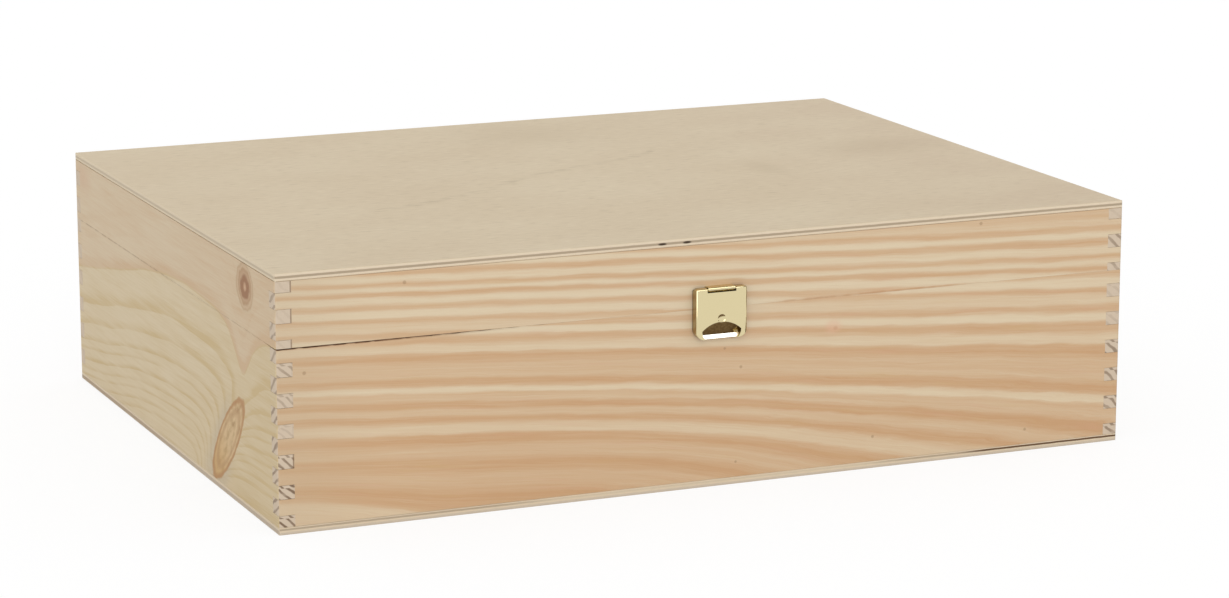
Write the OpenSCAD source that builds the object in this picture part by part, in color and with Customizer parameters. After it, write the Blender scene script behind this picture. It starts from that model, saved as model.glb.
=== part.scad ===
// Wooden wine box for three bottles lying side by side.
// A pine frame with finger-jointed corners and two plywood panels is glued up shut, then sawn
// apart into a base and a hinged lid. A pressed metal snap catch holds the front shut.
// Origin: centre of the underside. +X to the right, -Y to the front, +Z up. Millimetres.

/* [Box] */
// Outer width, along the front
box_w = 360; // [320:1:400]
// Outer depth, front to back
box_d = 272; // [250:1:320]
// Outer height with the lid shut
box_h = 100; // [92:1:130]
// Height of the lid, from the saw cut to its top face
lid_h = 28.5; // [24:0.5:36]
// Radius of the sanded upright corners
corner_r = 1; // [0.5:0.1:2.5]
// Radius of the eased outer edges of the panels
edge_r = 0.5; // [0.2:0.1:0.8]

/* [Boards and panels] */
// Thickness of the pine boards
board_t = 6.5; // [6:0.5:10]
// Thickness of the plywood panels
panel_t = 3; // [2:0.5:5]
// Width of the saw cut that parted the lid from the base
kerf = 3.2; // [1:0.1:4]
// Shadow gap left in the seam with the lid shut
seam_gap = 0.2; // [0.1:0.05:0.4]

/* [Finger joints] */
// Height of a finger of the left and right boards
side_finger = 5.4; // [4:0.1:7]
// Height of a finger of the front and back boards
front_finger = 6.3; // [4:0.1:8]
// How much of the topmost side finger the frame's top edge cuts away
finger_trim = 1.1; // [0:0.1:2]
// Play of a finger in its slot, filled by the glue line
finger_play = 0.1; // [0:0.05:0.2]

/* [Dividers] */
// Thickness of the two plywood dividers
divider_t = 3; // [2:0.5:4]
// Height of the dividers above the floor of the box
divider_h = 56; // [48:1:60]
// Depth of the grooves that hold their ends
groove_depth = 2.5; // [1.5:0.5:3.5]
// Play of a divider in its groove
groove_play = 0.2; // [0.1:0.05:0.4]
// Width of the hand scallop in a divider's top edge
scallop_w = 130; // [90:5:170]
// Depth of the hand scallop
scallop_depth = 18; // [10:1:26]

/* [Hinges] */
// Distance from an end of the box to the middle of the nearer hinge
hinge_inset = 65; // [40:1:100]
// Length of a hinge along its pin
hinge_w = 25; // [20:1:36]
// Height of a leaf, from the pin's centre to its free edge
leaf_h = 10.5; // [9:0.5:14]
// Thickness of the leaf sheet
leaf_t = 0.8; // [0.6:0.1:1]
// Outer radius of the knuckles
knuckle_r = 1.5; // [1.4:0.1:2]
// Radius of the hinge pin
pin_r = 0.7; // [0.5:0.05:0.8]
// Radial play of the pin in the knuckles
pin_play = 0.05; // [0.02:0.01:0.1]
// Gap between neighbouring knuckles
knuckle_gap = 0.3; // [0.2:0.05:0.5]
// Distance between the two nails of a leaf
leaf_nail_pitch = 15; // [12:0.5:16]

/* [Nails] */
// Radius of a nail's shank
nail_r = 0.6; // [0.4:0.05:0.8]
// Length of a nail under its head
nail_length = 5.5; // [4:0.5:5.5]
// Radius of a nail's head
nail_head_r = 1.3; // [1:0.1:1.6]
// Height of a nail's domed head
nail_head_h = 0.45; // [0.3:0.05:0.6]
// Radial play of the shank in its hole
nail_play = 0.02; // [0.01:0.01:0.05]

/* [Catch] */
// Width of the catch's cover
cover_w = 22; // [20:0.5:28]
// Height of the cover above the seam
cover_up = 8.7; // [8:0.1:11]
// Height of the cover below the seam
cover_down = 11.5; // [11:0.1:14]
// How far the cover's face stands out from the wood
cover_out = 3.7; // [3.6:0.1:5]
// Thickness of the pressed sheet
sheet_t = 0.45; // [0.4:0.05:0.5]
// Gap between the cover's rim and the wood
rim_gap = 0.25; // [0.2:0.05:0.4]
// Gap between the cover's top wall and the lid's plate as the cover swings
swing_gap = 0.15; // [0.1:0.05:0.3]
// Radius of the cover's top corners
cover_top_r = 1.6; // [1:0.1:2.5]
// Radius of the cover's bottom corners
cover_low_r = 4; // [3:0.1:5]
// Radius of the pressed edge round the cover's face
press_r = 1; // [0.8:0.1:1.6]
// Radius of the rolled bar that the cover swings on
bar_r = 0.45; // [0.4:0.05:0.6]
// Radial play of the bar in the tongue's curl
bar_play = 0.05; // [0.04:0.01:0.1]
// Width of the tongue that curls round the bar
tongue_w = 11.4; // [9:0.1:13]
// Gap between the tongue and the sides of the cover's slot
slot_gap = 0.4; // [0.3:0.05:0.6]
// Width of the thumb scoop
scoop_w = 16.6; // [14:0.2:17]
// Radius of the arch over the scoop
arch_r = 12; // [10:0.5:16]
// Radius of the scoop's upper corners
scoop_top_r = 3; // [2:0.5:4]
// Radius of the scoop's lower corners
scoop_low_r = 4.5; // [3:0.5:5]
// Depth of the scoop below the cover's face
scoop_depth = 2.2; // [1.8:0.1:2.3]
// Height of the scoop's arch above its lower edge
scoop_h = 5.3; // [4.5:0.1:5.6]
// Height of the lip below the scoop's deepest line
lip_h = 1.4; // [1:0.1:2]
// How far the lip flares out again
lip_flare = 0.8; // [0.5:0.1:1.2]
// Radius of the round dimple above the scoop
dimple_r = 1.7; // [1.2:0.1:2]
// Depth of the dimple
dimple_depth = 0.45; // [0.3:0.05:0.6]
// Distance of the dimple's centre below the seam
dimple_down = 3.5; // [2:0.1:3.6]

/* [Catch plates] */
// Thickness of the two plates nailed to the wood
plate_t = 0.5; // [0.4:0.05:0.6]
// Width of the plates
plate_w = 17; // [16:0.5:19]
// Distance of the plates from the seam
plate_edge = 0.8; // [0.5:0.1:1.2]
// Distance between the two nails of a plate
plate_nail_pitch = 11; // [9:0.5:12]
// Width of the nose that the cover snaps under
nose_w = 6; // [4:0.5:8]
// Radius of the nose
nose_r = 0.55; // [0.5:0.05:0.7]
// How far the nose reaches in behind the cover's ridge
nose_bite = 0.25; // [0.1:0.05:0.3]

/* [Hidden] */
$fn = 48;
eps = 0.01;
lanes = 3;
pine = [0.87, 0.76, 0.58];
birch = [0.83, 0.77, 0.67];
brass = [0.80, 0.74, 0.45];

// Heights of the box
frame_top = box_h - panel_t;
seam_z = box_h - lid_h;
lid_low = seam_z + seam_gap / 2;
base_high = seam_z - seam_gap / 2;
finger_pitch = side_finger + front_finger;
finger_count = ceil((frame_top - panel_t + kerf + finger_trim) / finger_pitch);
inner_w = box_w - 2 * board_t;
inner_d = box_d - 2 * board_t;
lane_d = (inner_d - (lanes - 1) * divider_t) / lanes;
divider_y = (lane_d + divider_t) / 2;

// Hinges
hinge_x = box_w / 2 - hinge_inset;
hinge_out = knuckle_r + 0.1;
knuckle_w = (hinge_w - 2 * knuckle_gap) / 3;
leaf_nail_z = (leaf_h + knuckle_r) / 2;

// Catch, measured out from the wood and up from the seam
bar_up = cover_up - bar_r - 0.15;
bar_out = cover_out - bar_r - bar_play - sheet_t;
bar_w = cover_w - 2 * cover_top_r + 1;
curl_in = bar_r + bar_play;
curl_out = curl_in + sheet_t;
slot_w = tongue_w + 2 * slot_gap;
scoop_low = -cover_down + lip_h;
scoop_slope = atan2(scoop_depth, scoop_h);
ridge_out = cover_out - scoop_depth - sheet_t / cos(scoop_slope);
nose_out = ridge_out + nose_bite;
nose_up = scoop_low + nose_r + 0.5;
lid_plate_high = bar_up - curl_out;
lid_plate_nail = (plate_edge + lid_plate_high) / 2;
strike_low = nose_up;
strike_nail = (-plate_edge + strike_low) / 2 + 0.4;

// ---------------------------------------------------------------- flat shapes

// What lies outside a rounded corner of radius r at the origin, for a shape towards +x and +y.
module corner_waste(r) {
    difference() {
        translate([-eps, -eps]) square(r + eps);
        translate([r, r]) circle(r);
    }
}

// A rectangle from low to high with one radius for its lower and one for its upper corners.
module rounded_rect(low, high, r_low, r_high) {
    difference() {
        translate(low) square(high - low);
        translate(low) corner_waste(r_low);
        translate([high[0], low[1]]) mirror([1, 0]) corner_waste(r_low);
        translate([low[0], high[1]]) mirror([0, 1]) corner_waste(r_high);
        translate(high) mirror([1, 0]) mirror([0, 1]) corner_waste(r_high);
    }
}

// ------------------------------------------------------------- wooden pieces

// The sanded outside of the box as an upright prism between two heights.
module sanded_outside(low, high) {
    translate([0, 0, low])
        linear_extrude(high - low)
            rounded_rect([-box_w / 2, -box_d / 2], [box_w / 2, box_d / 2], corner_r, corner_r);
}

// A plywood panel: a sheet with rounded corners and eased edges.
module panel(low) {
    high = low + panel_t;
    intersection() {
        sanded_outside(low, high);
        rotate([90, 0, 0])
            linear_extrude(box_d + 2, center = true)
                rounded_rect([-box_w / 2, low], [box_w / 2, high], edge_r, edge_r);
        rotate([90, 0, 90])
            linear_extrude(box_w + 2, center = true)
                rounded_rect([-box_d / 2, low], [box_d / 2, high], edge_r, edge_r);
    }
}

// Bars of one corner's finger slots, across a square of one board thickness.
// shift moves the comb up, because the saw cut took its width out of the glued frame.
module finger_slots(first, height, shift) {
    for (i = [0 : finger_count])
        translate([
            -board_t - eps,
            -board_t - eps,
            frame_top + shift + finger_trim - first - i * finger_pitch - height - finger_play / 2
        ])
            cube([2 * board_t + 2 * eps, 2 * board_t + 2 * eps, height + finger_play]);
}

// The slots that take the side boards' fingers out of a front or back board, or the other way round.
module comb(of_front, shift) {
    for (x = [-1, 1], y = [-1, 1])
        translate([x * box_w / 2, y * box_d / 2, 0])
            if (of_front)
                finger_slots(0, side_finger, shift);
            else
                finger_slots(side_finger, front_finger, shift);
}

// A front board (side -1) or back board (side 1), from one height to another.
module long_board(side, low, high, shift) {
    intersection() {
        sanded_outside(low, high);
        difference() {
            translate([-box_w / 2 - 1, side > 0 ? box_d / 2 - board_t : -box_d / 2 - 1, low - 1])
                cube([box_w + 2, board_t + 1, high - low + 2]);
            comb(true, shift);
        }
    }
}

// A left board (side -1) or right board (side 1), from one height to another.
module short_board(side, low, high, shift) {
    intersection() {
        sanded_outside(low, high);
        difference() {
            translate([side > 0 ? box_w / 2 - board_t : -box_w / 2 - 1, -box_d / 2 - 1, low - 1])
                cube([board_t + 1, box_d + 2, high - low + 2]);
            comb(false, shift);
        }
    }
}

module base_front_board() {
    color(pine)
        difference() {
            long_board(-1, panel_t, base_high, kerf - seam_gap);
            at_catch() plate_nail_holes(strike_nail);
        }
}

module base_back_board() {
    color(pine)
        difference() {
            long_board(1, panel_t, base_high, kerf - seam_gap);
            at_hinges() leaf_nail_holes(-1);
        }
}

module base_side_board(side) {
    color(pine)
        difference() {
            short_board(side, panel_t, base_high, kerf - seam_gap);
            divider_grooves(side);
        }
}

module lid_front_board() {
    color(pine)
        difference() {
            long_board(-1, lid_low, frame_top, 0);
            at_catch() plate_nail_holes(lid_plate_nail);
        }
}

module lid_back_board() {
    color(pine)
        difference() {
            long_board(1, lid_low, frame_top, 0);
            at_hinges() leaf_nail_holes(1);
        }
}

module lid_side_board(side) {
    color(pine) short_board(side, lid_low, frame_top, 0);
}

// The two upright grooves in a side board that hold the dividers' ends.
module divider_grooves(side) {
    for (y = [-1, 1])
        translate([side * (inner_w / 2), y * divider_y, panel_t + (box_h / 2)])
            cube([2 * groove_depth, divider_t + groove_play, box_h + 2], center = true);
}

// A divider between two bottles: a strip of plywood with a scallop for the hand.
module divider(side) {
    length = inner_w + 2 * (groove_depth - groove_play);
    scallop_radius = (pow(scallop_w / 2, 2) + pow(scallop_depth, 2)) / (2 * scallop_depth);
    color(birch)
        translate([0, side * divider_y, panel_t])
            rotate([90, 0, 0])
                linear_extrude(divider_t, center = true)
                    difference() {
                        rounded_rect([-length / 2, 0], [length / 2, divider_h], 0.2, 1);
                        translate([0, divider_h - scallop_depth + scallop_radius])
                            circle(scallop_radius, $fn = 180);
                    }
}

// --------------------------------------------------------------------- nails

// A small nail with a domed head, driven along -z from a surface at z = 0.
module nail() {
    dome_r = (pow(nail_head_r, 2) + pow(nail_head_h, 2)) / (2 * nail_head_h);
    intersection() {
        translate([0, 0, nail_head_h - dome_r]) sphere(dome_r);
        cylinder(h = nail_head_h + 1, r = nail_head_r);
    }
    translate([0, 0, -nail_length + 2 * nail_r]) cylinder(h = nail_length - 2 * nail_r + eps, r = nail_r);
    translate([0, 0, -nail_length]) cylinder(h = 2 * nail_r, r1 = 0.15, r2 = nail_r);
}

// The hole for its shank, through a sheet of thickness t and into the wood.
module nail_hole(t) {
    translate([0, 0, -t - nail_length]) cylinder(h = nail_length + t + 1, r = nail_r + nail_play);
}

// -------------------------------------------------------------------- hinges

// Local frame of the hinges: origin on the outside of the back at the seam, +y away from the wood.
module at_hinges() {
    for (x = [-hinge_x, hinge_x])
        translate([x, box_d / 2, seam_z]) children();
}

// The places of a leaf's nails, with +z pointing away from the wood. up is 1 on the lid, -1 on the base.
module at_leaf_nails(up) {
    for (x = [-leaf_nail_pitch / 2, leaf_nail_pitch / 2])
        translate([x, 0, up * leaf_nail_z]) rotate([-90, 0, 0]) children();
}

module leaf_nail_holes(up) {
    at_leaf_nails(up) nail_hole(0);
}

// A tube along x, centred on the hinge pin.
module along_pin(x_from, x_to, r) {
    translate([x_from, hinge_out, 0]) rotate([0, 90, 0]) cylinder(h = x_to - x_from, r = r);
}

// One leaf with its knuckles. The base leaf has the two outer knuckles and the lid leaf the middle one.
module hinge_leaf(up, knuckles) {
    difference() {
        union() {
            difference() {
                rotate([90, 0, 0])
                    mirror([0, 0, 1])
                        linear_extrude(leaf_t)
                            rounded_rect(
                                [-hinge_w / 2, up > 0 ? 0 : -leaf_h],
                                [hinge_w / 2, up > 0 ? leaf_h : 0],
                                up > 0 ? 0.1 : 1.5,
                                up > 0 ? 1.5 : 0.1
                            );
                // room for the other leaf's knuckles, and for this leaf's own bend
                translate([-hinge_w / 2 - 1, -1, -knuckle_r - knuckle_gap])
                    cube([hinge_w + 2, leaf_t + 2, 2 * (knuckle_r + knuckle_gap)]);
            }
            for (k = knuckles) {
                x = -hinge_w / 2 + k * (knuckle_w + knuckle_gap);
                along_pin(x, x + knuckle_w, knuckle_r);
                translate([x, 0, up > 0 ? 0 : -knuckle_r - knuckle_gap - eps])
                    cube([knuckle_w, leaf_t, knuckle_r + knuckle_gap + eps]);
            }
        }
        along_pin(-hinge_w / 2 - 1, hinge_w / 2 + 1, pin_r + pin_play);
        at_leaf_nails(up) nail_hole(leaf_t);
        translate([-hinge_w / 2 - 1, -1, -hinge_w / 2]) cube([hinge_w + 2, 1, hinge_w]);
    }
}

module hinge_at(side) {
    translate([side * hinge_x, box_d / 2, seam_z]) children();
}

module base_leaf(side) {
    color(brass) hinge_at(side) hinge_leaf(-1, [0, 2]);
}

module lid_leaf(side) {
    color(brass) hinge_at(side) hinge_leaf(1, [1]);
}

// The pin, with a peened head just outside each end knuckle.
module hinge_pin(side) {
    head_h = 0.4;
    color(brass)
        hinge_at(side) {
            along_pin(-hinge_w / 2 - pin_play - eps, hinge_w / 2 + pin_play + eps, pin_r);
            for (end = [-1, 1])
                along_pin(
                    min(end * (hinge_w / 2 + pin_play), end * (hinge_w / 2 + pin_play + head_h)),
                    max(end * (hinge_w / 2 + pin_play), end * (hinge_w / 2 + pin_play + head_h)),
                    pin_r + 0.35
                );
        }
}

module hinge_nails(up) {
    color(brass) at_hinges() at_leaf_nails(up) translate([0, 0, leaf_t]) nail();
}

// --------------------------------------------------------------------- catch

// Local frame of the catch: origin on the outside of the front at the seam.
module at_catch() {
    translate([0, -box_d / 2, seam_z]) children();
}

// Turns a flat shape seen from the front into a plate from one distance out of the wood to another.
module facing_front(from, to) {
    rotate([90, 0, 0]) translate([0, 0, from]) linear_extrude(to - from) children();
}

// Turns a profile drawn as (out from the wood, up) into a bar along x.
module along_x(width) {
    rotate([90, 0, -90]) linear_extrude(width, center = true) children();
}

module at_plate_nails(up) {
    for (x = [-plate_nail_pitch / 2, plate_nail_pitch / 2])
        translate([x, 0, up]) rotate([90, 0, 0]) children();
}

module plate_nail_holes(up) {
    at_plate_nails(up) nail_hole(0);
}

module plate_nails(up) {
    color(brass) at_catch() at_plate_nails(up) translate([0, 0, plate_t]) nail();
}

// The plate on the lid. Its tongue rises, bends out and curls round the cover's bar.
module catch_plate() {
    color(brass)
        at_catch() {
            difference() {
                facing_front(0, plate_t)
                    rounded_rect([-plate_w / 2, plate_edge], [plate_w / 2, lid_plate_high], 0.8, 1.2);
                at_plate_nails(lid_plate_nail) nail_hole(plate_t);
            }
            along_x(tongue_w) {
                translate([0, lid_plate_high - 1]) square([plate_t, bar_up + curl_out - lid_plate_high + 1]);
                translate([0, bar_up + curl_in]) square([bar_out, sheet_t]);
                difference() {
                    translate([bar_out, bar_up]) circle(curl_out);
                    translate([bar_out, bar_up]) circle(curl_in);
                    translate([bar_out - 2 * curl_out, bar_up - curl_in / 2])
                        square([2 * curl_out, 2 * curl_in]);
                }
            }
        }
}

// The plate on the base, with the rounded nose that holds the cover's ridge.
module catch_strike() {
    color(brass)
        at_catch() {
            difference() {
                facing_front(0, plate_t)
                    rounded_rect([-plate_w / 2, strike_low], [plate_w / 2, -plate_edge], 1.2, 0.8);
                at_plate_nails(strike_nail) nail_hole(plate_t);
            }
            along_x(nose_w)
                intersection() {
                    translate([nose_out - nose_r, nose_up]) circle(nose_r);
                    translate([0, nose_up - nose_r]) square([nose_out, 2 * nose_r]);
                }
        }
}

// The cover's pressed form, or its hollow when taken in by inset on every side.
module cover_form(inset) {
    back = inset > 0 ? -1 : rim_gap;
    face = cover_out - inset;
    half = cover_w / 2 - inset;
    high = cover_up - inset;
    low = -cover_down + inset;
    intersection() {
        facing_front(back, face)
            rounded_rect([-half, low], [half, high], cover_low_r - inset, cover_top_r - inset);
        translate([0, 0, low - 1])
            linear_extrude(high - low + 2)
                mirror([0, 1]) rounded_rect([-half, back - 3], [half, face], 0.1, press_r - inset);
        along_x(2 * half + 2) cover_profile(back, face, low, high, inset);
    }
}

// Side view of that form: pressed round at the top, and cut round the bar at the back so that it swings clear.
module cover_profile(back, face, low, high, inset) {
    difference() {
        translate([back, low]) square([face - back, high - low]);
        translate([face, high]) mirror([1, 0]) mirror([0, 1]) corner_waste(press_r - inset);
        if (inset == 0)
            difference() {
                translate([back - 1, bar_up]) square([bar_out - back + 1, high]);
                translate([bar_out, bar_up]) circle(bar_out - plate_t - swing_gap);
            }
    }
}

// The scoop: an arched recess with a slanted floor, above a lip that turns out again.
module scoop_form(grow) {
    top = scoop_low + scoop_h + grow;
    half = scoop_w / 2 + grow;
    intersection() {
        facing_front(0, cover_out + 1)
            intersection() {
                rounded_rect(
                    [-half, -cover_down - 1.2 - grow],
                    [half, top],
                    scoop_low_r + grow,
                    scoop_top_r + grow
                );
                translate([0, top - arch_r - grow]) circle(arch_r + grow, $fn = 96);
            }
        along_x(cover_w) scoop_side_view(grow);
    }
}

// Side view of the room in front of the scoop's floor and the lip. The floor is moved in by grow.
module scoop_side_view(grow) {
    in = cover_out - scoop_depth - grow / cos(scoop_slope);
    rise = scoop_depth / scoop_h;
    lip_slope = lip_flare / lip_h;
    polygon([
        [in, scoop_low],
        [in + 2 * scoop_h * rise, scoop_low + 2 * scoop_h],
        [cover_out + 9, scoop_low + 2 * scoop_h],
        [cover_out + 9, scoop_low - 2 * lip_h],
        [in + 2 * lip_h * lip_slope, scoop_low - 2 * lip_h]
    ]);
}

module dimple_form(grow) {
    dome_r = (pow(dimple_r, 2) + pow(dimple_depth, 2)) / (2 * dimple_depth);
    translate([0, -cover_out - dome_r + dimple_depth, -dimple_down]) sphere(dome_r + grow);
}

// The swinging cover: a pressed dish with a slot for the tongue, a rolled bar, a thumb scoop and a dimple.
module catch_cover() {
    slot_low = bar_up - curl_out - slot_gap / 2;
    color(brass)
        at_catch() {
            difference() {
                union() {
                    difference() {
                        cover_form(0);
                        cover_form(sheet_t);
                    }
                    intersection() {
                        cover_form(0);
                        union() {
                            scoop_form(sheet_t);
                            dimple_form(sheet_t);
                        }
                    }
                }
                scoop_form(0);
                dimple_form(0);
                facing_front(0, cover_out + 1)
                    translate([-slot_w / 2, slot_low]) square([slot_w, cover_up - slot_low + 1]);
            }
            along_x(bar_w) translate([bar_out, bar_up]) circle(bar_r);
        }
}

base_front_board();
base_back_board();
base_side_board(-1);  // base_left_board
base_side_board(1);  // base_right_board
color(birch) panel(0);  // base_panel
divider(-1);  // front_divider
divider(1);  // rear_divider
lid_front_board();
lid_back_board();
lid_side_board(-1);  // lid_left_board
lid_side_board(1);  // lid_right_board
color(birch) panel(frame_top);  // lid_panel
base_leaf(-1);  // left_hinge_base_leaf
lid_leaf(-1);  // left_hinge_lid_leaf
hinge_pin(-1);  // left_hinge_pin
base_leaf(1);  // right_hinge_base_leaf
lid_leaf(1);  // right_hinge_lid_leaf
hinge_pin(1);  // right_hinge_pin
hinge_nails(-1);  // hinge_nails_base
hinge_nails(1);  // hinge_nails_lid
catch_plate();
catch_cover();
catch_strike();
plate_nails(lid_plate_nail);  // catch_nails_lid
plate_nails(strike_nail);  // catch_nails_base
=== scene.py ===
import math

import bmesh
import bpy
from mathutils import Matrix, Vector


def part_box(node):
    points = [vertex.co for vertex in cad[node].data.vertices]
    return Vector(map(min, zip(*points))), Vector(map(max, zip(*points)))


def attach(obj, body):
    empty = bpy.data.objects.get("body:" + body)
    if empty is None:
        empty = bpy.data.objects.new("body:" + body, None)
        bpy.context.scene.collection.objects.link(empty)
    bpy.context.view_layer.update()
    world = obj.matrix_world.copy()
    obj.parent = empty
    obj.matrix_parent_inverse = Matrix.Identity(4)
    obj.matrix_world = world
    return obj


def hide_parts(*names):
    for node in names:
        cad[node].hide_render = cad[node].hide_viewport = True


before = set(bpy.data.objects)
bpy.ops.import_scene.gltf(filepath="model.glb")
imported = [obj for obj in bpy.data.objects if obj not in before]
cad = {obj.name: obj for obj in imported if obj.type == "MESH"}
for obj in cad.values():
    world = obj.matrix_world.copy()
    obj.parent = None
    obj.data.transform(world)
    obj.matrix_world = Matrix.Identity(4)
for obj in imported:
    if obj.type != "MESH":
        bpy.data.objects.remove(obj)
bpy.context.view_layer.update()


# ---- The table it is photographed on ---------------------------------------------------
# A white table in a white room with one soft window beside the camera. None of it belongs
# to the box. Dark cards and a lamp stand where only the polished metal can see them.
CAMERA_AT = (-0.6126, -1.4598, 0.3981)
CAMERA_LOOKS = (0.38552, 0.89697, -0.21638)
LENS, FILM = 112.95, 36
ROOM_GLOW = 0.80
TABLE_REACH, TABLE_GREY = 9, 0.85
SEEN_GLOW, SEEN_WHITE = 0.80, 1.03
WINDOW_POWER, WINDOW_WIDE = 0.80, math.radians(50)
WINDOW_SIDE, WINDOW_UP = math.radians(22), math.radians(21)
LAMP_UP, LAMP_FAR, LAMP_GLOW = math.radians(47), 2.0, 3.2
LAMP_WIDE, LAMP_HIGH = 1.8, 0.56
CARD_BROWN = (124, 106, 88)
DARK_CARDS = {
    "dark card": [(-0.1, -0.25, 0.0005), (0.5, -0.25, 0.0005),
                  (0.5, -0.139, 0.0005), (-0.1, -0.139, 0.0005)],
    "dark side": [(1.6, -1.2, 0), (1.6, 1.6, 0), (1.6, 1.6, 1.6), (1.6, -1.2, 1.6)],
    "dark ceiling": [(-1.5, -1.0, 2), (1.5, -1.0, 2), (1.5, 2.0, 2), (-1.5, 2.0, 2)]}


def paint(red, green, blue):
    """A colour as a paint chart gives it, 0 to 255, in the renderer's own numbers."""
    def channel(value):
        value /= 255
        return value / 12.92 if value <= 0.04045 else ((value + 0.055) / 1.055) ** 2.4
    return channel(red), channel(green), channel(blue), 1.0


class Sock:
    """A node's output. Sums on it add Math nodes, so a pattern reads as its formula."""

    def __init__(self, graph, output):
        self.graph, self.output = graph, output

    def math(self, operation, *values):
        return self.graph.node("Math", {"operation": operation}, [self, *values])

    def __add__(self, other):
        return self.math("ADD", other)

    __radd__ = __add__

    def __sub__(self, other):
        return self.math("SUBTRACT", other)

    def __rsub__(self, other):
        return self.graph.node("Math", {"operation": "SUBTRACT"}, [other, self])

    def __mul__(self, other):
        return self.math("MULTIPLY", other)

    __rmul__ = __mul__

    def __truediv__(self, other):
        return self.math("DIVIDE", other)

    def __rtruediv__(self, other):
        return self.graph.node("Math", {"operation": "DIVIDE"}, [other, self])

    def __pow__(self, other):
        return self.math("POWER", other)

    def __abs__(self):
        return self.math("ABSOLUTE")

    def max(self, other):
        return self.math("MAXIMUM", other)

    def min(self, other):
        return self.math("MINIMUM", other)

    def ease(self, start, end):
        """0 at start and 1 at end, with a soft step between; start may be the higher."""
        return self.graph.node(
            "MapRange", {"interpolation_type": "SMOOTHSTEP"}, [self, start, end])


class Graph:
    """The nodes of one material, or of the room's light."""

    def __init__(self, owner):
        owner.use_nodes = True
        self.owner, self.tree = owner, owner.node_tree
        self.tree.nodes.clear()

    def node(self, kind, settings=None, inputs=None, output=0):
        """Adds one node: its settings first, then the values or links of its sockets."""
        made = self.tree.nodes.new("ShaderNode" + kind)
        for key, value in (settings or {}).items():
            if key == "stops":
                ramp = made.color_ramp.elements
                while len(ramp) < len(value):
                    ramp.new(1)
                for stop, (place, colour) in zip(ramp, value):
                    stop.position = place
                    stop.color = colour
            elif key == "interpolation":
                made.color_ramp.interpolation = value
            elif key == "points":
                curve = made.mapping.curves[0]
                while len(curve.points) < len(value):
                    curve.points.new(1, 1)
                for point, place in zip(curve.points, value):
                    point.location, point.handle_type = place, "AUTO_CLAMPED"
                made.mapping.update()
            else:
                setattr(made, key, value)
        named = inputs.items() if isinstance(inputs, dict) else enumerate(inputs or ())
        for name, value in named:
            if isinstance(value, Sock):
                self.tree.links.new(value.output, made.inputs[name])
            elif value is not None:
                made.inputs[name].default_value = value
        if made.outputs:
            return Sock(self, made.outputs[output])
        return made

    def mix(self, share, first, second):
        """The first colour where share is 0 and the second where it is 1. A Mix node takes
        colours at its sockets 6 and 7, and gives one at its output 2."""
        return self.node("Mix", {"data_type": "RGBA"}, {0: share, 6: first, 7: second}, output=2)


def seen_directly(graph):
    """1 for what the camera sees, straight, in metal or through glass, and 0 for light."""
    camera, glossy, through = [graph.node("LightPath", output=ray) for ray in (
        "Is Camera Ray", "Is Glossy Ray", "Is Transmission Ray")]
    return camera.max(glossy).max(through)


camera = bpy.data.objects.new("camera", bpy.data.cameras.new("camera"))
bpy.context.scene.collection.objects.link(camera)
bpy.context.scene.camera = camera
camera.data.lens, camera.data.sensor_width = LENS, FILM
camera.location = CAMERA_AT
camera.rotation_euler = Vector(CAMERA_LOOKS).to_track_quat("-Z", "Y").to_euler()
bpy.context.scene.view_settings.view_transform = "Standard"

room = bpy.data.worlds.new("white room")
bpy.context.scene.world = room
light = Graph(room)
brightness = ROOM_GLOW + (1 - ROOM_GLOW) * seen_directly(light)
light.node("OutputWorld", {}, [light.node("Background", {}, [(1, 1, 1, 1), brightness])])

window = bpy.data.objects.new("window", bpy.data.lights.new("window", "SUN"))
bpy.context.scene.collection.objects.link(window)
window.data.energy, window.data.angle = WINDOW_POWER, WINDOW_WIDE
window.rotation_euler = (math.radians(90) - WINDOW_UP, 0, -WINDOW_SIDE)


def stage_sheet(name, corners, only_in_metal=False):
    """A flat four-cornered sheet of the stage, with its own material's graph."""
    mesh = bpy.data.meshes.new(name)
    mesh.from_pydata(corners, [], [(0, 1, 2, 3)])
    sheet = bpy.data.objects.new(name, mesh)
    bpy.context.scene.collection.objects.link(sheet)
    mesh.materials.append(bpy.data.materials.new(name))
    if only_in_metal:
        sheet.visible_camera = sheet.visible_diffuse = sheet.visible_shadow = False
        sheet.visible_transmission = sheet.visible_volume_scatter = False
    return Graph(mesh.materials[0])


graph = stage_sheet("table", [(-TABLE_REACH, -TABLE_REACH, 0), (TABLE_REACH, -TABLE_REACH, 0),
                              (TABLE_REACH, TABLE_REACH, 0), (-TABLE_REACH, TABLE_REACH, 0)])
lit = graph.node("BsdfDiffuse", {}, [(TABLE_GREY, TABLE_GREY, TABLE_GREY, 1)])
pale = graph.node("BsdfDiffuse", {}, [(1, 1, 1, 1)])
white = graph.node("Emission", {}, [(1, 1, 1, 1), SEEN_WHITE])
seen = graph.node("MixShader", {}, [SEEN_GLOW, pale, white])
graph.node("OutputMaterial", {}, [graph.node("MixShader", {}, [seen_directly(graph), lit, seen])])

for name, corners in DARK_CARDS.items():
    graph = stage_sheet(name, corners, only_in_metal=True)
    graph.node("OutputMaterial", {}, [graph.node("Emission", {}, [paint(*CARD_BROWN), 1])])

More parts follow.
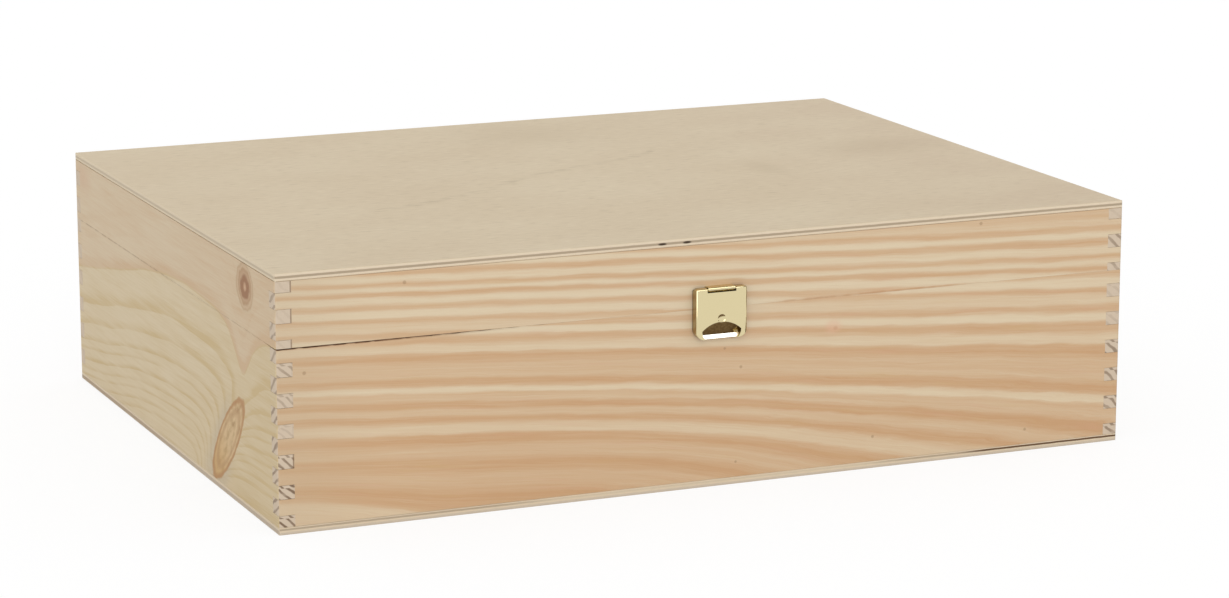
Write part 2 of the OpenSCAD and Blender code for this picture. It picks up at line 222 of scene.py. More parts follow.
at = LAMP_FAR * Vector((math.sin(WINDOW_SIDE) * math.cos(LAMP_UP),
                        -math.cos(WINDOW_SIDE) * math.cos(LAMP_UP), math.sin(LAMP_UP)))
across = Vector((math.cos(WINDOW_SIDE), math.sin(WINDOW_SIDE), 0)) * LAMP_WIDE / 2
upward = at.cross(across).normalized() * LAMP_HIGH / 2
graph = stage_sheet("lamp above", [at - across - upward, at + across - upward,
                                   at + across + upward, at - across + upward], only_in_metal=True)
graph.node("OutputMaterial", {}, [graph.node("Emission", {}, [(1, 1, 1, 1), LAMP_GLOW])])


# ---- The front boards ------------------------------------------------------------------
# Two planed pine boards, cut from one plank once the box was glued up, so that the grain
# runs on from the lid into the base. Their ends are glued into the side boards with
# finger joints; the cut has sprung open by half a millimetre at the left corner.
BOX_W, BOX_D, BOX_H = 360, 272, 100
SEAM_Z, KERF, FINGER_PITCH = 71.5, 3.2, 11.7
SEAM_DOWN = BOX_H - SEAM_Z
SEAM_REACH, SEAM_SHUT = 0.15, 0.01
GAPE, GAPE_TO, GAPE_LEAST = 0.46, 92, 0.03
DASH, DASH_FROM, DASH_TO = 0.10, 60, 115
EDGE_STEP, EDGE_STEPS = 1.25e-3, 95

# How the rings run, in mm over a run of 350 mm: they fall to the right, bend and turn back
# on the way, and do so more low down. In the lowest part of the plank they also sag between
# the ends and lift at the left one. They waver by the last number of each row of WANDER,
# in patches as long and as wide as its first two.
RUN, FALL, FALL_LOW = 350, 16.9, 14.1
BEND, BEND_LOW, TURN, TURN_LOW = 3.6, 44.3, 1, 25.2
SAG, SAG_BELOW, SAG_AT, SAG_END = 13.25, 0.6, 143, 254
LIFT, LIFT_LEVELS, LIFT_TO = 8, (70, 95), 75
RING_SLANT, BACK_LEVEL = 0.85, 96
WANDER = [(90, 30, .35), (26, 4, .55), (9, 1.4, .24)]

PINE_ROUGHNESS = 0.62
PINE_LIGHT, PINE_DARK = paint(220, 202, 172), paint(201, 161, 121)
PINE_PINK, PINE_YELLOW = paint(211, 164, 138), paint(204, 174, 122)
# PINE_SHADED_END is painted shade, for the dimmer left end of the front where the light falls off.
PINE_SHADED_END, SPECK = paint(193, 172, 142), paint(150, 118, 86)
END_LIGHT, END_DARK = paint(208, 190, 168), paint(126, 103, 82)
# CUT_GAP_SHADE is painted shade for the open saw cut at the left end.
CUT_GAP_SHADE, SHUT_LINE_TONE = paint(116, 76, 46), paint(186, 138, 98)
GAP_SHADE_FADES, RIM_SHADE_FADES, SHUT_LINE_STARTS, SHUT_LINE_ENDS = (115, 25), (118, 90), (196, 214), (300, 275)

# How dark the strokes of the end grain are at some depths below the top, in mm.
FRONT_STROKES = [(0, .6), (30, .5), (60, .7), (100, .75)]
FAINT_STROKES = [(0, .08), (50, .15), (100, .1)]

# Across the growth rings: how far down the uncut plank, in mm below the top at the left
# end, and how dark the wood is there, from pale early wood, 0, to dark late wood, 1.
FRONT_RINGS = [
    (-14, .5), (-9.3, .55), (-7.9, .64), (-5.4, .34), (-3.7, .76), (-1.5, 0), (.5, .82), (2, .4),
    (3.8, .12), (5.5, .82), (7.4, .08), (9.2, .84), (10.3, .4), (12, .06), (14.1, .74), (16, .12),
    (17.6, .08), (19.1, .78), (20.4, .48), (22.9, .28), (24.9, .78), (26.6, .16), (27.7, .04),
    (28.4, .1), (30.3, .82), (31.5, .66), (32.6, .36), (34.3, .22), (35, .28), (36.9, .93),
    (38.6, .78), (40.5, .62), (42.2, .64), (43.8, .56), (46, .98), (47.3, .88), (48.6, .24),
    (49.6, .1), (50.8, .68), (52.6, .55), (53.5, .66), (55, 1), (56.4, .82), (58.1, .54),
    (60.6, .98), (61.5, .84), (63.3, .36), (64.8, .3), (65.9, .4), (68.4, .98), (70, .88),
    (71.6, .68), (74.2, .64), (77.4, .98), (79, .97), (81.2, .8), (82.6, .7), (86.8, .73),
    (90.8, 1.03), (93.5, .92), (96.6, .82), (98.6, .3), (108, .4)]
FRONT_SPECKS = [(51, 7.4, .7), (11, 38.5, .7), (183, 45, .5), (190, 53, .6), (188, 91, .5),
                (295, 4.4, .7), (248, 87, .6), (317, 91, .6)]
BLUSH = [((230, 40.5, 3.2), .45, paint(222, 178, 150)), ((231, 41.2, .9), .35, paint(190, 140, 106))]


def board_graph(name):
    """Starts a wood material: its graph, and the place on the box in mm, from the left
    side, from the front and below the top."""
    graph = Graph(bpy.data.materials.new(name))
    place = graph.node("TexCoord", output="Object")
    x, y, z = [graph.node("SeparateXYZ", {}, [place], output=i) for i in range(3)]
    return graph, x * 1000 + BOX_W / 2, y * 1000 + BOX_D / 2, BOX_H - z * 1000


def streaks(graph, along, across, deep, length, width, detail=2):
    """Noise drawn out along the grain, about -1 to 1; length and width are in mm."""
    place = graph.node("CombineXYZ", {}, [along / length, across / width, deep / width])
    noise = graph.node("TexNoise", {}, {"Vector": place, "Scale": 1.0, "Detail": detail})
    return noise * 2.6 - 1.3


def faces(graph, axis):
    """1 on the faces that look along an axis: 0 for x, 1 for y, 2 for z."""
    normal = graph.node("TexCoord", output="Normal")
    return abs(graph.node("SeparateXYZ", {}, [normal], output=axis)).ease(0.6, 0.8)


def spot(x, z, at_x, at_z, radius, tall=1.0, soft=0.35):
    """1 inside a small mark, 0 outside; tall is its height over its width."""
    far = ((x - at_x) ** 2 + ((z - at_z) / tall) ** 2) ** 0.5
    return far.ease(radius * (1 + soft), radius * (1 - soft))


def profile(graph, depth, points):
    """A number that follows given points over a depth, smoothly in between."""
    low, high = points[0][0], points[-1][0]
    return graph.node("FloatCurve", {"points": [((at - low) / (high - low), value / 2)
                                                for at, value in points]},
                      {"Value": (depth - low) / (high - low)}) * 2


def end_grain(graph, level, z, along, across, strokes, apart):
    """The sawn end of a board: its rings as dark strokes, apart mm from one to the next,
    and stronger where strokes says. Each finger is cut a little further into the rings."""
    finger = (z / FINGER_PITCH).math("FLOOR")
    bent = level + streaks(graph, along, z, across, 6, 6, 1) * 0.9 + finger * 1.3
    stroke = (bent * (2 * math.pi / apart)).math("SINE").ease(0.15, 0.9)
    patchy = streaks(graph, along, z, across, 4, 4, 1).ease(-1.0, 0.2) * 0.6 + 0.4
    return graph.mix(stroke * patchy * profile(graph, z, strokes), END_LIGHT, END_DARK)


def planed(graph, colour, grain, dark, roughness=PINE_ROUGHNESS):
    """Gives a wood material its dull planed surface, with the grain just felt."""
    bump = graph.node("Bump", {}, {"Strength": 0.3, "Distance": 0.0002,
                                   "Height": grain * 0.35 - dark * 0.3})
    shader = graph.node("BsdfPrincipled", {}, {
        "Base Color": colour, "Roughness": roughness + grain * 0.04,
        "Specular IOR Level": 0.25, "Normal": bump})
    graph.node("OutputMaterial", {}, [shader])
    return graph.owner


def front_marks(graph, x, y, z, colour):
    """What only the front has: a ragged line of painted shade along the gaping cut, with the base's cut
    face behind it painted dark as shade, a darker line along the lid's lower edge where the cut is shut, a
    blush beside the catch, and specks."""
    # Painted shade: a ragged dark line along the gaping cut, and the base's upward cut face just behind the
    # front painted dark, for the shade inside the open gap.
    gap_shade = abs(z - (SEAM_DOWN + 0.25)).ease(0.5, 0.2) * x.ease(*GAP_SHADE_FADES)
    gap_shade = gap_shade * streaks(graph, x, z, y, 4, 9, 1).ease(-1, 0.2) * y.ease(0.6, 0.3) * 0.85
    rim = faces(graph, 2) * z.ease(SEAM_DOWN, SEAM_DOWN + 0.05) * y.ease(1.1, 0.7)
    colour = graph.mix(gap_shade.max(rim * x.ease(*RIM_SHADE_FADES)), colour, CUT_GAP_SHADE)
    # A darker line along the lid's lower edge where the cut is shut, from about 200 to 290 mm.
    shut_line = abs(z - (SEAM_DOWN - 0.2)).ease(0.6, 0.15) * x.ease(*SHUT_LINE_STARTS) * x.ease(*SHUT_LINE_ENDS)
    shut_line = shut_line * streaks(graph, x, z, y, 5, 5, 1).ease(-1.2, 0.6) * 0.6
    colour = graph.mix(shut_line, colour, SHUT_LINE_TONE)
    for place, strength, tone in BLUSH:
        colour = graph.mix(spot(x, z, *place, tall=0.8, soft=0.6) * strength, colour, tone)
    for speck in FRONT_SPECKS:
        colour = graph.mix(spot(x, z, *speck) * 0.45, colour, SPECK)
    return colour


def long_pine(name, behind=False):
    """Pine of the front boards, or of the back ones, cut further down the same plank."""
    graph, x, y, z = board_graph(name)
    if behind:
        x, y = BOX_W - x, BOX_D - y
    run, down = x / RUN, z / BOX_H
    level = (z - run * (FALL + FALL_LOW * down ** 3) + run ** 2 * (BEND - BEND_LOW * down)
             + run ** 3 * (TURN + TURN_LOW * down))
    level = level + (down - SAG_BELOW).max(0) * x.ease(0, SAG_AT) * x.ease(SAG_END, SAG_AT) * SAG
    level = level + level.ease(*LIFT_LEVELS) * x.ease(LIFT_TO, 0) * LIFT
    level = level + z.math("GREATER_THAN", SEAM_DOWN) * KERF - y * RING_SLANT
    if behind:
        level = BACK_LEVEL - level
    for length, width, strength in WANDER:
        level = level + streaks(graph, x, z, y, length, width, 1) * strength
    dark = profile(graph, level, FRONT_RINGS)
    across = level * 1.1
    drift = streaks(graph, x, across, y, 110, 1.7, 3)
    grain = streaks(graph, x, across, y, 36, 0.5, 3)
    hairs = streaks(graph, x, across, y, 22, 0.22)
    shade = (dark * 0.98 - 0.05 + drift * (0.09 + dark * 0.14) + grain * 0.16 + hairs * 0.15
             + x.ease(250, BOX_W) * 0.05).max(0)
    colour = graph.mix(shade.min(1.15), PINE_LIGHT, PINE_DARK)
    tint = dark * 0.3 + 0.15
    pink = streaks(graph, x, across, y, 45, 2.2).ease(0.1, 1.1)
    yellow = streaks(graph, x, across, y, 38, 2).ease(-0.1, -1.1)
    colour = graph.mix(yellow * tint, graph.mix(pink * tint, colour, PINE_PINK), PINE_YELLOW)
    # Painted shade: greyer towards the end where x is 0, the left end of the front, standing in for the
    # light falling off there.
    colour = graph.mix(x.ease(45, 0) * 0.30, colour, PINE_SHADED_END)
    if not behind:
        colour = front_marks(graph, x, y, z, colour)
    end = end_grain(graph, level, z, x, y, FAINT_STROKES if behind else FRONT_STROKES, apart=5.6)
    return planed(graph, graph.mix(faces(graph, 0), colour, end), grain, dark)


def merged_copy(name):
    """The mesh of a CAD node as one closed skin, with no edges across its flat faces."""
    made = bmesh.new()
    made.from_mesh(cad[name].data)
    bmesh.ops.remove_doubles(made, verts=made.verts, dist=1e-6)
    bmesh.ops.dissolve_limit(made, angle_limit=math.radians(0.5), verts=made.verts,
                             edges=made.edges)
    return made


def stand_in(made, name, piece_name, body, look):
    """Shows a finished mesh in place of a CAD node, on the same body."""
    mesh = bpy.data.meshes.new(piece_name)
    made.to_mesh(mesh)
    made.free()
    mesh.materials.append(look)
    piece = bpy.data.objects.new(piece_name, mesh)
    bpy.context.scene.collection.objects.link(piece)
    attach(piece, body)
    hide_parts(name)
    return piece


def cut_board(name, look, spring):
    """Stands for a CAD board: the same board with its saw cut closed up, except where
    spring(x, y), in mm from the left front corner, says that it gapes. The board is
    divided all along its first part for that."""
    body = "lid" if name.startswith("lid") else "base"
    made = merged_copy(name)
    low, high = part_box(name)
    along = 0 if high.x - low.x > high.y - low.y else 1
    for step in range(1, EDGE_STEPS + 1):
        at, across = Vector((0, 0, 0)), Vector((0, 0, 0))
        at[along], across[along] = low[along] + step * EDGE_STEP, 1
        bmesh.ops.bisect_plane(made, geom=made.verts[:] + made.edges[:] + made.faces[:],
                               plane_co=at, plane_no=across, dist=1e-6)
    for corner in made.verts:
        x, y, z = corner.co * 1000
        if abs(z - SEAM_Z) < SEAM_REACH:
            gape = 0 if body == "lid" else spring(x + BOX_W / 2, y + BOX_D / 2)
            corner.co.z = (SEAM_Z + SEAM_SHUT - gape) / 1000
    return stand_in(made, name, name.replace("board", "wood"), body, look)


def front_spring(x, y):
    """Open at the left end, then closing with a ragged edge that ends in short dashes."""
    ragged = 0.7 + 0.3 * math.sin(x * 0.9) * math.sin(x * 0.37 + 1)
    dash = DASH * max(0, math.sin(x * 0.55)) if DASH_FROM < x < DASH_TO else 0
    return GAPE_LEAST + GAPE * max(0, 1 - x / GAPE_TO) ** 0.6 * ragged + dash


FRONT_PINE = long_pine("front pine")
for half in ("base", "lid"):
    cut_board(half + "_front_board", FRONT_PINE, front_spring)


# ---- The side and back boards ----------------------------------------------------------
# Pine from other planks, but for the back, whose boards come from the front's. The left
# side has two knots, a round one in the lid and a long slanting one in the base that the
# rings bend round. The back and the right side are clear.
SIDE_SLANT, SIDE_RISE, RISE_AT, SIDE_LOW = 0.8, 30, (-70, 165), 5.5
DIP, DIP_AT, DIP_HALF, DIP_BELOW, DIP_LEAN = 19, 232, 13, 52, 1.05
RIGHT_DROP, DROP_AT, TONE_STEP = 12, (120, 300), (49.5, 51)

# The round knot and the long one, which is called the leaf: where its middle lies from the
# back and below the top, half its length and its width, and the leaf's cosine and sine.
KNOT_AT, KNOT_HALF = (236.2, 11.9), (11, 9.8)
LEAF_AT, LEAF_HALF, LEAF_LEAN = (211.5, 77), (28, 8.4), (0.733, 0.680)
KNOT_RINGS = [(0, paint(204, 168, 136)), (.14, paint(188, 150, 118)), (.22, paint(158, 116, 84)),
              (.42, paint(158, 118, 86)), (.54, paint(190, 158, 126)), (.66, paint(182, 149, 115)),
              (.78, paint(203, 177, 145)), (.90, paint(193, 164, 131)), (1, paint(207, 186, 154))]
LEAF_PALE, LEAF_DARK, LEAF_TIP = paint(212, 184, 142), paint(168, 134, 90), paint(200, 160, 98)
LEAF_RING, LEAF_RIM, LEAF_HALO = paint(176, 136, 96), paint(180, 136, 92), paint(192, 178, 156)
SIDE_PALE, SIDE_LIGHT = paint(214, 195, 166), paint(216, 199, 168)
SIDE_UPPER, SIDE_LOWER = paint(206, 178, 144), paint(203, 180, 137)
SIDE_BLUSH, SIDE_CUT, GLUE = paint(208, 174, 146), paint(146, 116, 86), paint(128, 98, 68)

# Across the rings of the side boards, counted upwards in mm: where each ring starts, how
# dark its late wood is, and the least darkness in it.
SIDE_RINGS = [(-140, .3, 0), (-115, .5, 0), (-106, .5, 0), (-102.5, .6, 0), (-98.5, .5, 0),
              (-95.5, .45, 0), (-91.5, .7, 0), (-86.5, .5, 0), (-82.5, .7, 0), (-75.5, .6, 0),
              (-66.5, .7, 0), (-51, .8, 0), (-38, .2, .1), (-30, .2, .1), (-21, .25, .1),
              (-10, .2, .1), (0, .2, .1), (12, .2, .1), (20, .2, 0)]
LEFT_STROKES = [(0, .08), (30, .1), (37, .5), (49, .45), (60, .2), (66, .5), (72, .85), (100, 1)]
RIGHT_STROKES = [(0, .1), (10, .2), (15, .6), (29, .55), (34, .15), (50, .2), (58, .7), (100, .7)]
GLUE_LINE = [(0, .7), (30, .6), (34, .1), (66, .1), (70, .7), (76, .7), (80, .1), (100, 0)]
GLUE_DEEP = 6.2


def growth(graph, depth, rings):
    """How dark the wood is at a depth across rings that each start sharply and fade."""
    low, high, count = rings[0][0], rings[-1][0], len(rings) - 1
    starts = [((ring[0] - low) / (high - low), i / count) for i, ring in enumerate(rings)]
    number = graph.node("FloatCurve", {"points": starts},
                        {"Value": (depth - low) / (high - low)}) * count
    whole = number.math("FLOOR")
    stops = [(i / count, (ring[1], ring[2], 0, 1)) for i, ring in enumerate(rings[:-1])]
    ring = graph.node("ValToRGB", {"stops": stops, "interpolation": "CONSTANT"},
                      [(whole + 0.5) / count])
    late, least = [graph.node("SeparateColor", {}, [ring], output=i) for i in range(2)]
    phase = number - whole
    return (late * phase.ease(0.5, 0.08) * phase.ease(0.0, 0.035)).max(least)


def left_marks(graph, s, z, deep, colour):
    """The left side's round knot, its long knot with a pale halo, and its shut saw cut."""
    far = (((s - KNOT_AT[0]) / KNOT_HALF[0]) ** 2 + ((z - KNOT_AT[1]) / KNOT_HALF[1]) ** 2) ** 0.5
    far = far + streaks(graph, s, z, deep, 4, 4) * 0.12
    knot = graph.node("ValToRGB", {"stops": KNOT_RINGS}, [far])
    colour = graph.mix(far.ease(1.12, 0.9), colour, knot)

    lengthwise = (s - LEAF_AT[0]) * LEAF_LEAN[0] - (z - LEAF_AT[1]) * LEAF_LEAN[1]
    across = (s - LEAF_AT[0]) * LEAF_LEAN[1] + (z - LEAF_AT[1]) * LEAF_LEAN[0]
    far = ((lengthwise / LEAF_HALF[0]) ** 2 + (across / LEAF_HALF[1]) ** 2) ** 0.5
    far = far + streaks(graph, s, z, deep, 4, 4) * 0.05
    blotch = streaks(graph, lengthwise, across, deep, 7, 3, 3)
    leaf = graph.mix(blotch.ease(-0.3, 0.9), LEAF_PALE, LEAF_DARK)
    leaf = graph.mix(lengthwise.ease(4, -24) * 0.6, leaf, LEAF_TIP)
    leaf = graph.mix(far.ease(0.5, 0.66) * far.ease(0.82, 0.7) * 0.5, leaf, LEAF_RING)
    leaf = graph.mix(far.ease(0.80, 0.93) * 0.85, leaf, LEAF_RIM)
    colour = graph.mix(far.ease(1.06, 0.98), colour, leaf)
    halo = far.ease(1.9, 1.05) * far.ease(0.95, 1.05) * s.ease(222, 206)
    colour = graph.mix(halo * 0.5, colour, LEAF_HALO)

    cut = abs(z - SEAM_DOWN).ease(0.5, 0.15) * streaks(graph, s, z, deep, 5, 9).ease(-0.5, 0.3)
    cut = cut * s.ease(3, 9) * (1 - s.ease(115, 160) * 0.6)
    return graph.mix(cut * faces(graph, 0) * 0.38, colour, SIDE_CUT)


def side_pine(name, left):
    """Pine of the left or the right boards; s runs from the back to the front, and deep
    from the outer face inwards."""
    graph, x, y, z = board_graph(name)
    s = BOX_D - y
    deep = x if left else x - BOX_W
    rise = s.ease(*RISE_AT) * SIDE_RISE - SIDE_LOW
    if left:
        lean = s - DIP_AT + (z - DIP_BELOW).max(0) * DIP_LEAN
        dip = DIP / (1 + (lean / DIP_HALF) ** 2)
    else:
        dip = s.ease(*DROP_AT) * RIGHT_DROP
    level = (z - deep * SIDE_SLANT + rise * (1 - (z - 30) * 0.004) - dip
             + streaks(graph, s, z, deep, 60, 25, 1) * 1.3 + streaks(graph, s, z, deep, 14, 2, 1) * 0.3)
    dark = growth(graph, level * -1, SIDE_RINGS)
    drift = streaks(graph, s, z, deep, 50, 4)
    grain = streaks(graph, s, z, deep, 20, 0.6, 3)
    shade = (dark * (0.9 + drift * 0.7) + drift * 0.34 + grain * 0.45 + 0.14
             + s.ease(130, BOX_D) * 0.34).max(0).min(1.4)
    lower = level.ease(*TONE_STEP)
    colour = graph.mix(shade, graph.mix(lower, SIDE_PALE, SIDE_LIGHT),
                       graph.mix(lower, SIDE_UPPER, SIDE_LOWER))
    colour = graph.mix(spot(s, z, 12, 9, 9, tall=0.5, soft=0.9) * 0.45, colour, SIDE_BLUSH)
    if left:
        colour = left_marks(graph, s, z, deep, colour)
        end = end_grain(graph, level, z, s, deep, LEFT_STROKES, apart=3.3)
        glue = abs(deep - GLUE_DEEP).ease(0.4, 0.15) * profile(graph, z, GLUE_LINE)
        end = graph.mix(glue, end, GLUE)
    else:
        end = end_grain(graph, level, z, s, deep, RIGHT_STROKES, apart=4.4)
    return planed(graph, graph.mix(faces(graph, 1), colour, end), grain, dark * 0.5)


def closed(x, y):
    return 0.04


def left_spring(x, y):
    """Open over the first 14 mm from the front corner."""
    return 0.05 + 0.35 * max(0, 1 - y / 14)


LEFT_PINE, RIGHT_PINE = side_pine("left pine", left=True), side_pine("right pine", left=False)
BACK_PINE = long_pine("back pine", behind=True)
for half in ("base", "lid"):
    cut_board(half + "_left_board", LEFT_PINE, left_spring)
    cut_board(half + "_right_board", RIGHT_PINE, closed)
    cut_board(half + "_back_board", BACK_PINE, closed)


# ---- The plywood panels and dividers -----------------------------------------------------
# Three-ply sheets, 3 mm thick, pale birch veneer over a darker core that shows at the edges
# with a few open voids. Two are glued on to the top and the underside of the frame, and
# two stand in grooves in the side boards and part the bottles.
LID_TOP, BASE_TOP, PLY_ROUGHNESS = 0, 97, 0.55
DIVIDER_Y = 44.83
VENEER_PALE, VENEER_WARM, VENEER_GRAIN = paint(221, 204, 174), paint(215, 196, 165), paint(198, 178, 146)
FIBRE_DARK, FIBRE_PALE = paint(186, 166, 134), paint(234, 220, 192)
VENEER_PINK, FLECK, CLOUD = paint(206, 182, 158), paint(178, 156, 122), paint(196, 176, 144)
EDGE_FRONT, EDGE_SIDE, EDGE_CORE = paint(224, 207, 181), paint(219, 203, 175), paint(174, 156, 132)
EDGE_LOW, EDGE_GLINT, VOID_SHADE = paint(196, 177, 151), paint(252, 238, 214), paint(70, 54, 40)
BASE_UPPER, BASE_LOWER, BASE_GAP_SHADE = paint(219, 202, 175), paint(205, 190, 170), paint(104, 78, 54)
BASE_CORE, BASE_THIN_CORE = paint(210, 194, 168), paint(180, 162, 138)
BASE_FRONT_CORE_AND_SHADE, BASE_BACK_CORE_AND_SHADE = paint(190, 174, 154), paint(176, 155, 130)
EDGE_FIBRE = paint(170, 148, 122)
DIVIDER_PALE, DIVIDER_WARM, DIVIDER_GRAIN = paint(216, 198, 166), paint(207, 186, 152), paint(190, 162, 124)
RIM_PALE, RIM_CORE, RIM_FIBRE = paint(212, 194, 162), paint(172, 150, 122), paint(150, 124, 96)

# The joint between two strips of the top's veneer, as shares of the width and the depth.
VENEER_LINE = [(0, .66), (.20, .64), (.37, .545), (.40, .51), (.52, .43), (.63, .36), (.65, .33),
               (1, .3)]
VENEER_PATCHES = [(192, 35, 24, 1.0), (325, 122, 24, .7), (258, 150, 6, 2.5)]
VOIDS, VOID_UNDER, VOID_HALF, VOID_TALL = (156.4, 166.8), 1.55, 1.7, 0.28


def veneer(graph, x, back, z, under, grain):
    """The flat of a panel: clouded, with fine fibres, and flecks along the veneer's joint."""
    cloud = streaks(graph, x, back, z, 70, 45)
    face = graph.mix(cloud.ease(-0.9, 0.9), VENEER_PALE, VENEER_WARM)
    face = graph.mix(grain.ease(0.0, 1.3) * 0.35, face, VENEER_GRAIN)
    fibres = streaks(graph, x, back, z, 6, 2, 3)
    face = graph.mix(fibres.ease(0.0, 1.1) * 0.55, face, FIBRE_DARK)
    face = graph.mix(fibres.ease(0.0, -1.1) * 0.55, face, FIBRE_PALE)
    face = graph.mix(x.ease(220, BOX_W) * (0.5 + cloud * 0.5) * 0.35, face, VENEER_PINK)
    flecks = streaks(graph, x, back, z, 9, 1.8)
    joint = graph.node("FloatCurve", {"points": VENEER_LINE}, {"Value": x / BOX_W}) * BOX_D
    near = abs(back - joint).ease(4.5, 1) * x.ease(70, 80) * x.ease(236, 228) * under.ease(2, 1)
    marks = (near * flecks.ease(-0.2, 0.6)).max(flecks.ease(0.5, 1.1) * 0.5) * 0.5
    face = graph.mix(marks, face, FLECK)
    for patch in VENEER_PATCHES:
        face = graph.mix(spot(x, back, *patch, soft=0.95) * 0.28, face, CLOUD)
    return face


def lid_edge(graph, under, side):
    """The edge of the top: a dark core between pale veneers, with a painted highlight on the lower arris of
    the front and back, which is darker on the sides.
    """
    edge = graph.mix(side, EDGE_FRONT, EDGE_SIDE)
    core = under.ease(0.85, 1.1) * under.ease(2.05, 1.75)
    edge = graph.mix(core * (1 - side * 0.45), edge, EDGE_CORE)
    edge = graph.mix(under.ease(2.5, 2.7) * side, edge, EDGE_LOW)
    # Painted highlight: a near-white line on the lower arris of the front and back edges.
    return graph.mix(under.ease(2.7, 2.85) * (1 - side), edge, EDGE_GLINT)


def base_edge(graph, x, y, under, side):
    """The edge of the underside's panel: its core darkens to an open gap at the right, painted as shade,
    and on the sides a darker band, partly the core and partly painted shade of the lower edge, deepens
    towards the back.
    """
    edge = graph.mix(under.ease(1.6, 2.2), BASE_UPPER, BASE_LOWER)
    core = graph.mix(x.ease(80, 120) * x.ease(270, 240), BASE_THIN_CORE, BASE_CORE)
    # Painted shade: the core turns dark brown at the right end, for the shade in an open gap between the
    # plies.
    core = graph.mix(x.ease(285, 300), core, BASE_GAP_SHADE)
    edge = graph.mix(under.ease(0.4, 0.6) * under.ease(1.35, 1.15) * (1 - side), edge, core)
    # On the sides: the core band together with painted shade of the lower edge, darker towards the back.
    core = graph.mix(y.ease(90, 190), BASE_FRONT_CORE_AND_SHADE, BASE_BACK_CORE_AND_SHADE)
    return graph.mix(under.ease(0.8, 1.2) * under.ease(2.6, 2.3) * side, edge, core)


def plywood(name, top):
    """Plywood of a panel whose upper face lies top mm below the top of the box."""
    graph, x, y, z = board_graph(name)
    back = BOX_D - y
    under = z - top + streaks(graph, x + y, z, x, 40, 3) * 0.08
    grain = streaks(graph, x, back, z, 9, 0.9, 3)
    side = faces(graph, 0)
    if top == LID_TOP:
        edge = lid_edge(graph, under, side)
    else:
        edge = base_edge(graph, x, y, under, side)
    edge = graph.mix(streaks(graph, x + y, under, x, 18, 0.5).ease(0, 1.4) * 0.3, edge, EDGE_FIBRE)
    # The core's open voids, painted as dark spots of shade on the front edge of the top.
    for at_x in VOIDS if top == LID_TOP else ():
        void = spot(x, under, at_x, VOID_UNDER, VOID_HALF, VOID_TALL)
        edge = graph.mix(void * faces(graph, 1) * y.ease(3, 2), edge, VOID_SHADE)
    face = veneer(graph, x, back, z, under, grain)
    return planed(graph, graph.mix(faces(graph, 2), edge, face), grain, 0.0, PLY_ROUGHNESS)


def divider_plywood(name):
    """The dividers' plywood: pale veneer on the flat faces, a darker middle ply at the rim."""
    graph, x, y, z = board_graph(name)
    grain = streaks(graph, x, z, y, 60, 1.1, 3)
    face = graph.mix(streaks(graph, x, z, y, 70, 25).ease(-1, 1), DIVIDER_PALE, DIVIDER_WARM)
    face = graph.mix(grain.ease(-0.2, 1.2) * 0.45, face, DIVIDER_GRAIN)
    core = abs(abs(y - BOX_D / 2) - DIVIDER_Y).ease(0.75, 0.55)
    rim = graph.mix(core, RIM_PALE, RIM_CORE)
    rim = graph.mix(streaks(graph, x, y, z, 5, 0.5).ease(0.2, 1.4) * 0.5, rim, RIM_FIBRE)
    return planed(graph, graph.mix(faces(graph, 1), rim, face), grain, 0.0, PLY_ROUGHNESS)


def finish(name, look):
    """Gives a CAD node its material."""
    cad[name].data.materials.clear()
    cad[name].data.materials.append(look)


finish("lid_panel", plywood("lid panel plywood", LID_TOP))
finish("base_panel", plywood("base panel plywood", BASE_TOP))
DIVIDER_PLY = divider_plywood("divider plywood")
finish("front_divider", DIVIDER_PLY)
finish("rear_divider", DIVIDER_PLY)


# ---- The catch and the hinges ------------------------------------------------------------
# A pressed snap catch on the front and two butt hinges on the back, of bright brass-plated
# sheet, each nailed to the lid and the base. The catch's cover was pressed from one piece,
# so its edges are rounded; its walls, rim and scoop are painted darker than its face, as shade
# and dark reflection, and its lip carries a painted highlight.
# The wall, rim and scoop colours are painted shade and dark reflection, and the lip's colour is a painted
# highlight.
BRASS_BRIGHT, BRASS_WALL_SHADE, BRASS_RIM_SHADE = paint(220, 206, 163), paint(164, 147, 112), paint(110, 92, 62)
SCOOP_DARK_REFLECTION, LIP_PAINTED_HIGHLIGHT = paint(150, 126, 82), paint(246, 242, 232)
BRASS_ROUGHNESS = 0.08
COVER_FACE, COVER_BEVEL, PLATE_BEVEL = -139.7, 0.30, 0.12
BEVEL_STEPS, BEVEL_FROM = 3, math.radians(50)
DIMPLE_HALF, DIMPLE_LOW, DIMPLE_HIGH, DIMPLE_SHARE = 2.2, 66, 70.4, 0.75


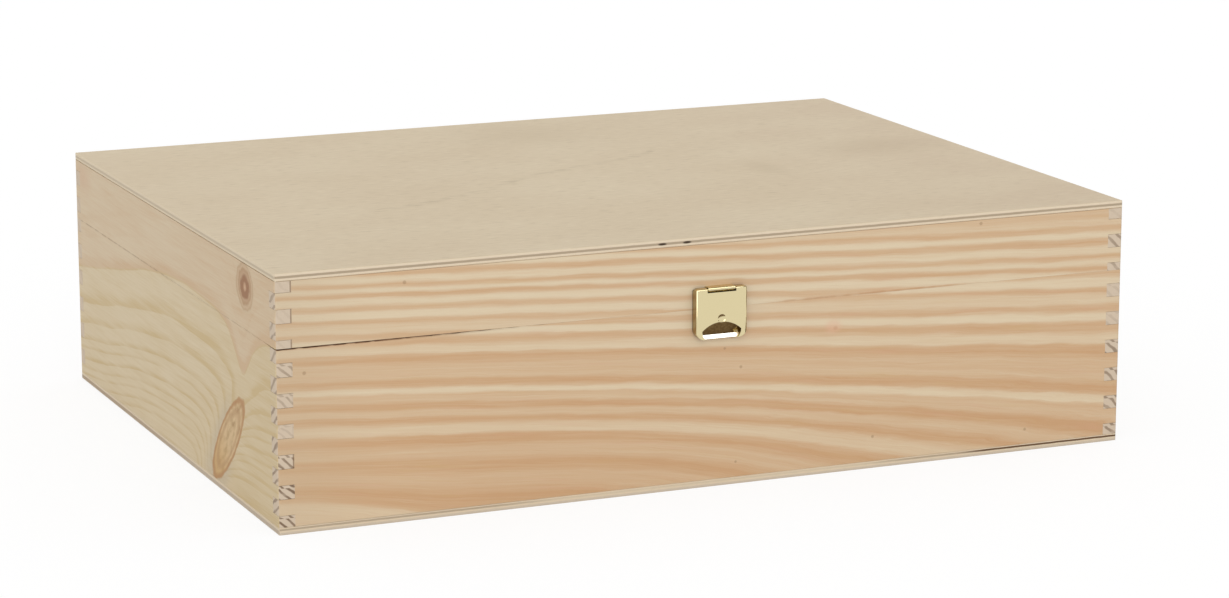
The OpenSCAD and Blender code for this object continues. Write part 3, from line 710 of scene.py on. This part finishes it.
def cover_colour_and_painted_light(graph, x, y, z, haze):
    """The cover's colour, by the place in mm from the middle of the box's underside: bright brass in front,
    with painted shade and dark reflection down its walls and at the cut rim behind, a painted dark
    reflection in the scoop, and a painted highlight on the lip below it."""
    # Painted shade and dark reflection: the walls and rounded side edges painted darker, darkest at the rim
    # against the wood.
    wall = (y.ease(-138.9, -136.9) * 0.85).max(abs(x).ease(10.58, 10.75) * 0.75)
    colour = graph.mix(wall, BRASS_BRIGHT, BRASS_WALL_SHADE)
    colour = graph.mix(y.ease(-136.95, -136.3), colour, BRASS_RIM_SHADE)
    # Painted reflection: the scoop painted dark brown, standing in for the dark surroundings it reflects.
    scoop = abs(x).ease(9.5, 8.6) * z.ease(60.9, 61.3) * z.ease(67.2, 66.6)
    scoop = scoop * y.ease(-139.66, -139.4) * y.ease(-136.6, -137)
    scoop_darkening = haze.ease(0.45, 0.6) * 0.35 + x.ease(3, 6.5) * 0.65
    colour = graph.mix(scoop * scoop_darkening, colour, SCOOP_DARK_REFLECTION)
    # Painted highlight: the lip below the scoop painted near white.
    lip = abs(x).ease(8.8, 8.6) * z.ease(61.5, 61.4) * y.ease(-139.0, -138.7) * y.ease(-137.2, -137.4)
    return graph.mix(lip, colour, LIP_PAINTED_HIGHLIGHT)


def brass(name, cover=False):
    """Polished brass plate, with the cover's colour and painted light, or plain."""
    graph = Graph(bpy.data.materials.new(name))
    place = graph.node("TexCoord", output="Object")
    x, y, z = [graph.node("SeparateXYZ", {}, [place], output=i) * 1000 for i in range(3)]
    haze = graph.node("TexNoise", {}, {"Vector": place, "Scale": 900.0, "Detail": 2.0})
    shader = graph.node("BsdfPrincipled", {}, {
        "Base Color": cover_colour_and_painted_light(graph, x, y, z, haze) if cover else BRASS_BRIGHT,
        "Metallic": 1.0, "Roughness": BRASS_ROUGHNESS + haze * 0.08})
    graph.node("OutputMaterial", {}, [shader])
    return graph.owner


def pressed(made, name, piece_name, body, look, width):
    """Stands for a CAD plate: the same plate with rounded edges, width in mm."""
    piece = stand_in(made, name, piece_name, body, look)
    bevel = piece.modifiers.new("pressed edge", "BEVEL")
    bevel.width, bevel.segments = width / 1000, BEVEL_STEPS
    bevel.limit_method, bevel.angle_limit = "ANGLE", BEVEL_FROM


BRASS, COVER_BRASS = brass("brass"), brass("cover brass", cover=True)
for name in cad:
    if "hinge" in name or "catch" in name:
        finish(name, BRASS)

cover = merged_copy("catch_cover")
for corner in cover.verts:
    x, y, z = corner.co * 1000
    if (abs(x) < DIMPLE_HALF and DIMPLE_LOW < z < DIMPLE_HIGH
            and COVER_FACE + 0.01 < y < COVER_FACE + 0.7):
        corner.co.y = (COVER_FACE + (y - COVER_FACE) * DIMPLE_SHARE) / 1000
pressed(cover, "catch_cover", "catch_brass_cover", "catch_cover", COVER_BRASS, COVER_BEVEL)
pressed(merged_copy("catch_plate"), "catch_plate", "catch_brass_plate", "lid", BRASS, PLATE_BEVEL)
